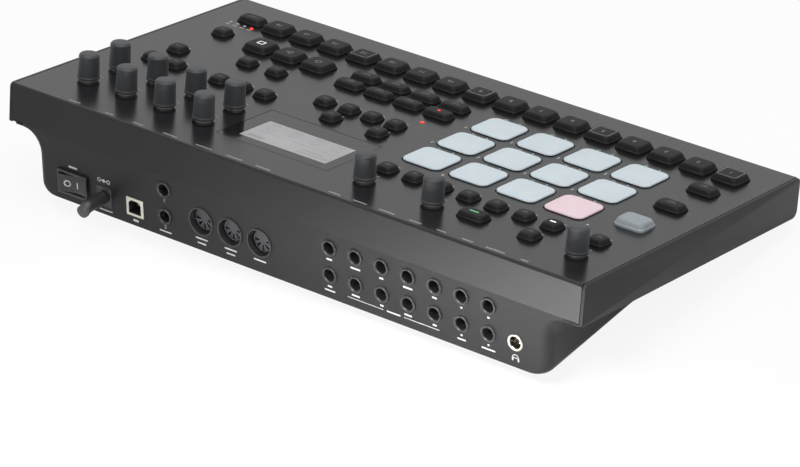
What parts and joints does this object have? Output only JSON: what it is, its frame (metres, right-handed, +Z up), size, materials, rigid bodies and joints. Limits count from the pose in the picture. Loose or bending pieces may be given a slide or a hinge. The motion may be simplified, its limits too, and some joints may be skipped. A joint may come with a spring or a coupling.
{
  "type": "drum machine",
  "caption": "Table-top drum machine: sloping panel with lit pads, step keys, turning knobs and a display, on a moulded case with a rear socket panel and rubber feet.",
  "frame": {"origin": "centre of the bounding box at the level of the feet", "axes": "+Z up, +X to the player's right, +Y from the player to the rear sockets"},
  "size_m": [0.3853, 0.2259, 0.0825],
  "materials": {
    "panel_sheet": "fine satin powder coat, charcoal",
    "case": "fine-textured black moulding",
    "board": "green solder mask",
    "socket": "black moulded sockets and ring nuts, slight gloss",
    "port_shell": "plated pressed-steel shell",
    "plug": "soft black moulding",
    "switch": "black rocker with white marks",
    "screen": "lit display",
    "lens": "smoked cover glass",
    "turned_metal": "plated bushes and bodies",
    "foot_rubber": "black rubber",
    "screw_metal": "blackened steel",
    "key": "near-black soft-touch caps",
    "pad": "translucent lit silicone",
    "knob": "slate grey soft-touch knobs"
  },
  "bodies": {
    "base": {"top_plate": "panel_sheet", "bottom_case": "case", "circuit_boards": "board", "signal_jacks": "socket", "din_sockets": "socket", "usb_port": "port_shell", "power_inlet": "socket", "power_plug": "plug", "rocker_housing": "switch", "display_module": "screen", "display_lens": "lens", "rotary_parts": "turned_metal", "feet": "foot_rubber", "case_screws": "screw_metal"},
    "step_key_1": {"step_key_1": "key"},
    "step_key_2": {"step_key_2": "key"},
    "step_key_3": {"step_key_3": "key"},
    "step_key_4": {"step_key_4": "key"},
    "step_key_5": {"step_key_5": "key"},
    "step_key_6": {"step_key_6": "key"},
    "step_key_7": {"step_key_7": "key"},
    "step_key_8": {"step_key_8": "key"},
    "step_key_9": {"step_key_9": "key"},
    "step_key_10": {"step_key_10": "key"},
    "step_key_11": {"step_key_11": "key"},
    "step_key_12": {"step_key_12": "key"},
    "step_key_13": {"step_key_13": "key"},
    "step_key_14": {"step_key_14": "key"},
    "step_key_15": {"step_key_15": "key"},
    "step_key_16": {"step_key_16": "key"},
    "transport_key_1": {"transport_key_1": "key"},
    "transport_key_2": {"transport_key_2": "key"},
    "transport_key_3": {"transport_key_3": "key"},
    "pad_1": {"pad_1": "pad"},
    "pad_2": {"pad_2": "pad"},
    "pad_3": {"pad_3": "pad"},
    "pad_4": {"pad_4": "pad"},
    "pad_5": {"pad_5": "pad"},
    "pad_6": {"pad_6": "pad"},
    "pad_7": {"pad_7": "pad"},
    "pad_8": {"pad_8": "pad"},
    "pad_9": {"pad_9": "pad"},
    "pad_10": {"pad_10": "pad"},
    "pad_11": {"pad_11": "pad"},
    "pad_12": {"pad_12": "pad"},
    "wide_keys": {"wide_keys": "key"},
    "mode_keys": {"mode_keys": "key"},
    "edit_keys": {"edit_keys": "key"},
    "data_knob_1": {"data_knob_1": "knob"},
    "data_knob_2": {"data_knob_2": "knob"},
    "data_knob_3": {"data_knob_3": "knob"},
    "data_knob_4": {"data_knob_4": "knob"},
    "data_knob_5": {"data_knob_5": "knob"},
    "data_knob_6": {"data_knob_6": "knob"},
    "data_knob_7": {"data_knob_7": "knob"},
    "data_knob_8": {"data_knob_8": "knob"},
    "volume_knob": {"volume_knob": "knob"},
    "macro_knob": {"macro_knob": "knob"},
    "level_knob": {"level_knob": "knob"},
    "power_rocker": {"power_rocker": "switch"}
  },
  "joints": [
    {"name": "step_key_1_press", "type": "slide", "parent": "base", "child": "step_key_1", "axis": [0, 0.1977, -0.9803], "range_m": [0, 0.0012], "stiffness_N_per_m": 400, "springref_m": -0.002},
    {"name": "step_key_2_press", "type": "slide", "parent": "base", "child": "step_key_2", "axis": [0, 0.1977, -0.9803], "range_m": [0, 0.0012], "stiffness_N_per_m": 400, "springref_m": -0.002},
    {"name": "step_key_3_press", "type": "slide", "parent": "base", "child": "step_key_3", "axis": [0, 0.1977, -0.9803], "range_m": [0, 0.0012], "stiffness_N_per_m": 400, "springref_m": -0.002},
    {"name": "step_key_4_press", "type": "slide", "parent": "base", "child": "step_key_4", "axis": [0, 0.1977, -0.9803], "range_m": [0, 0.0012], "stiffness_N_per_m": 400, "springref_m": -0.002},
    {"name": "step_key_5_press", "type": "slide", "parent": "base", "child": "step_key_5", "axis": [0, 0.1977, -0.9803], "range_m": [0, 0.0012], "stiffness_N_per_m": 400, "springref_m": -0.002},
    {"name": "step_key_6_press", "type": "slide", "parent": "base", "child": "step_key_6", "axis": [0, 0.1977, -0.9803], "range_m": [0, 0.0012], "stiffness_N_per_m": 400, "springref_m": -0.002},
    {"name": "step_key_7_press", "type": "slide", "parent": "base", "child": "step_key_7", "axis": [0, 0.1977, -0.9803], "range_m": [0, 0.0012], "stiffness_N_per_m": 400, "springref_m": -0.002},
    {"name": "step_key_8_press", "type": "slide", "parent": "base", "child": "step_key_8", "axis": [0, 0.1977, -0.9803], "range_m": [0, 0.0012], "stiffness_N_per_m": 400, "springref_m": -0.002},
    {"name": "step_key_9_press", "type": "slide", "parent": "base", "child": "step_key_9", "axis": [0, 0.1977, -0.9803], "range_m": [0, 0.0012], "stiffness_N_per_m": 400, "springref_m": -0.002},
    {"name": "step_key_10_press", "type": "slide", "parent": "base", "child": "step_key_10", "axis": [0, 0.1977, -0.9803], "range_m": [0, 0.0012], "stiffness_N_per_m": 400, "springref_m": -0.002},
    {"name": "step_key_11_press", "type": "slide", "parent": "base", "child": "step_key_11", "axis": [0, 0.1977, -0.9803], "range_m": [0, 0.0012], "stiffness_N_per_m": 400, "springref_m": -0.002},
    {"name": "step_key_12_press", "type": "slide", "parent": "base", "child": "step_key_12", "axis": [0, 0.1977, -0.9803], "range_m": [0, 0.0012], "stiffness_N_per_m": 400, "springref_m": -0.002},
    {"name": "step_key_13_press", "type": "slide", "parent": "base", "child": "step_key_13", "axis": [0, 0.1977, -0.9803], "range_m": [0, 0.0012], "stiffness_N_per_m": 400, "springref_m": -0.002},
    {"name": "step_key_14_press", "type": "slide", "parent": "base", "child": "step_key_14", "axis": [0, 0.1977, -0.9803], "range_m": [0, 0.0012], "stiffness_N_per_m": 400, "springref_m": -0.002},
    {"name": "step_key_15_press", "type": "slide", "parent": "base", "child": "step_key_15", "axis": [0, 0.1977, -0.9803], "range_m": [0, 0.0012], "stiffness_N_per_m": 400, "springref_m": -0.002},
    {"name": "step_key_16_press", "type": "slide", "parent": "base", "child": "step_key_16", "axis": [0, 0.1977, -0.9803], "range_m": [0, 0.0012], "stiffness_N_per_m": 400, "springref_m": -0.002},
    {"name": "transport_key_1_press", "type": "slide", "parent": "base", "child": "transport_key_1", "axis": [0, 0.1977, -0.9803], "range_m": [0, 0.0012], "stiffness_N_per_m": 400, "springref_m": -0.002},
    {"name": "transport_key_2_press", "type": "slide", "parent": "base", "child": "transport_key_2", "axis": [0, 0.1977, -0.9803], "range_m": [0, 0.0012], "stiffness_N_per_m": 400, "springref_m": -0.002},
    {"name": "transport_key_3_press", "type": "slide", "parent": "base", "child": "transport_key_3", "axis": [0, 0.1977, -0.9803], "range_m": [0, 0.0012], "stiffness_N_per_m": 400, "springref_m": -0.002},
    {"name": "pad_1_press", "type": "slide", "parent": "base", "child": "pad_1", "axis": [0, 0.1977, -0.9803], "range_m": [0, 0.0008], "stiffness_N_per_m": 400, "springref_m": -0.002},
    {"name": "pad_2_press", "type": "slide", "parent": "base", "child": "pad_2", "axis": [0, 0.1977, -0.9803], "range_m": [0, 0.0008], "stiffness_N_per_m": 400, "springref_m": -0.002},
    {"name": "pad_3_press", "type": "slide", "parent": "base", "child": "pad_3", "axis": [0, 0.1977, -0.9803], "range_m": [0, 0.0008], "stiffness_N_per_m": 400, "springref_m": -0.002},
    {"name": "pad_4_press", "type": "slide", "parent": "base", "child": "pad_4", "axis": [0, 0.1977, -0.9803], "range_m": [0, 0.0008], "stiffness_N_per_m": 400, "springref_m": -0.002},
    {"name": "pad_5_press", "type": "slide", "parent": "base", "child": "pad_5", "axis": [0, 0.1977, -0.9803], "range_m": [0, 0.0008], "stiffness_N_per_m": 400, "springref_m": -0.002},
    {"name": "pad_6_press", "type": "slide", "parent": "base", "child": "pad_6", "axis": [0, 0.1977, -0.9803], "range_m": [0, 0.0008], "stiffness_N_per_m": 400, "springref_m": -0.002},
    {"name": "pad_7_press", "type": "slide", "parent": "base", "child": "pad_7", "axis": [0, 0.1977, -0.9803], "range_m": [0, 0.0008], "stiffness_N_per_m": 400, "springref_m": -0.002},
    {"name": "pad_8_press", "type": "slide", "parent": "base", "child": "pad_8", "axis": [0, 0.1977, -0.9803], "range_m": [0, 0.0008], "stiffness_N_per_m": 400, "springref_m": -0.002},
    {"name": "pad_9_press", "type": "slide", "parent": "base", "child": "pad_9", "axis": [0, 0.1977, -0.9803], "range_m": [0, 0.0008], "stiffness_N_per_m": 400, "springref_m": -0.002},
    {"name": "pad_10_press", "type": "slide", "parent": "base", "child": "pad_10", "axis": [0, 0.1977, -0.9803], "range_m": [0, 0.0008], "stiffness_N_per_m": 400, "springref_m": -0.002},
    {"name": "pad_11_press", "type": "slide", "parent": "base", "child": "pad_11", "axis": [0, 0.1977, -0.9803], "range_m": [0, 0.0008], "stiffness_N_per_m": 400, "springref_m": -0.002},
    {"name": "pad_12_press", "type": "slide", "parent": "base", "child": "pad_12", "axis": [0, 0.1977, -0.9803], "range_m": [0, 0.0008], "stiffness_N_per_m": 400, "springref_m": -0.002},
    {"name": "wide_keys_press", "type": "slide", "parent": "base", "child": "wide_keys", "axis": [0, 0.1977, -0.9803], "range_m": [0, 0.0012], "stiffness_N_per_m": 1200, "springref_m": -0.002},
    {"name": "mode_keys_press", "type": "slide", "parent": "base", "child": "mode_keys", "axis": [0, 0.1977, -0.9803], "range_m": [0, 0.0012], "stiffness_N_per_m": 1200, "springref_m": -0.002},
    {"name": "edit_keys_press", "type": "slide", "parent": "base", "child": "edit_keys", "axis": [0, 0.1977, -0.9803], "range_m": [0, 0.0012], "stiffness_N_per_m": 1200, "springref_m": -0.002},
    {"name": "data_knob_1_turn", "type": "hinge", "parent": "base", "child": "data_knob_1", "pos_m": [0.0822, 0.0271, 0.05976], "axis": [0, -0.1977, 0.9803], "continuous": true},
    {"name": "data_knob_2_turn", "type": "hinge", "parent": "base", "child": "data_knob_2", "pos_m": [0.1098, 0.0271, 0.05976], "axis": [0, -0.1977, 0.9803], "continuous": true},
    {"name": "data_knob_3_turn", "type": "hinge", "parent": "base", "child": "data_knob_3", "pos_m": [0.1374, 0.0271, 0.05976], "axis": [0, -0.1977, 0.9803], "continuous": true},
    {"name": "data_knob_4_turn", "type": "hinge", "parent": "base", "child": "data_knob_4", "pos_m": [0.165, 0.0271, 0.05976], "axis": [0, -0.1977, 0.9803], "continuous": true},
    {"name": "data_knob_5_turn", "type": "hinge", "parent": "base", "child": "data_knob_5", "pos_m": [0.0822, 0.05279, 0.06494], "axis": [0, -0.1977, 0.9803], "continuous": true},
    {"name": "data_knob_6_turn", "type": "hinge", "parent": "base", "child": "data_knob_6", "pos_m": [0.1098, 0.05279, 0.06494], "axis": [0, -0.1977, 0.9803], "continuous": true},
    {"name": "data_knob_7_turn", "type": "hinge", "parent": "base", "child": "data_knob_7", "pos_m": [0.1374, 0.05279, 0.06494], "axis": [0, -0.1977, 0.9803], "continuous": true},
    {"name": "data_knob_8_turn", "type": "hinge", "parent": "base", "child": "data_knob_8", "pos_m": [0.165, 0.05279, 0.06494], "axis": [0, -0.1977, 0.9803], "continuous": true},
    {"name": "volume_knob_turn", "type": "hinge", "parent": "base", "child": "volume_knob", "pos_m": [-0.1666, 0.0569, 0.06577], "axis": [0, -0.1977, 0.9803], "range_deg": [-150, 150]},
    {"name": "macro_knob_turn", "type": "hinge", "parent": "base", "child": "macro_knob", "pos_m": [-0.0759, 0.0572, 0.06583], "axis": [0, -0.1977, 0.9803], "range_deg": [-150, 150]},
    {"name": "level_knob_turn", "type": "hinge", "parent": "base", "child": "level_knob", "pos_m": [-0.0314, 0.0572, 0.06583], "axis": [0, -0.1977, 0.9803], "continuous": true},
    {"name": "power_rocker_tip", "type": "hinge", "parent": "base", "child": "power_rocker", "pos_m": [0.1483, 0.08936, 0.02279], "axis": [0, 0.0698, -0.9976], "range_deg": [0, 16]}
  ]
}
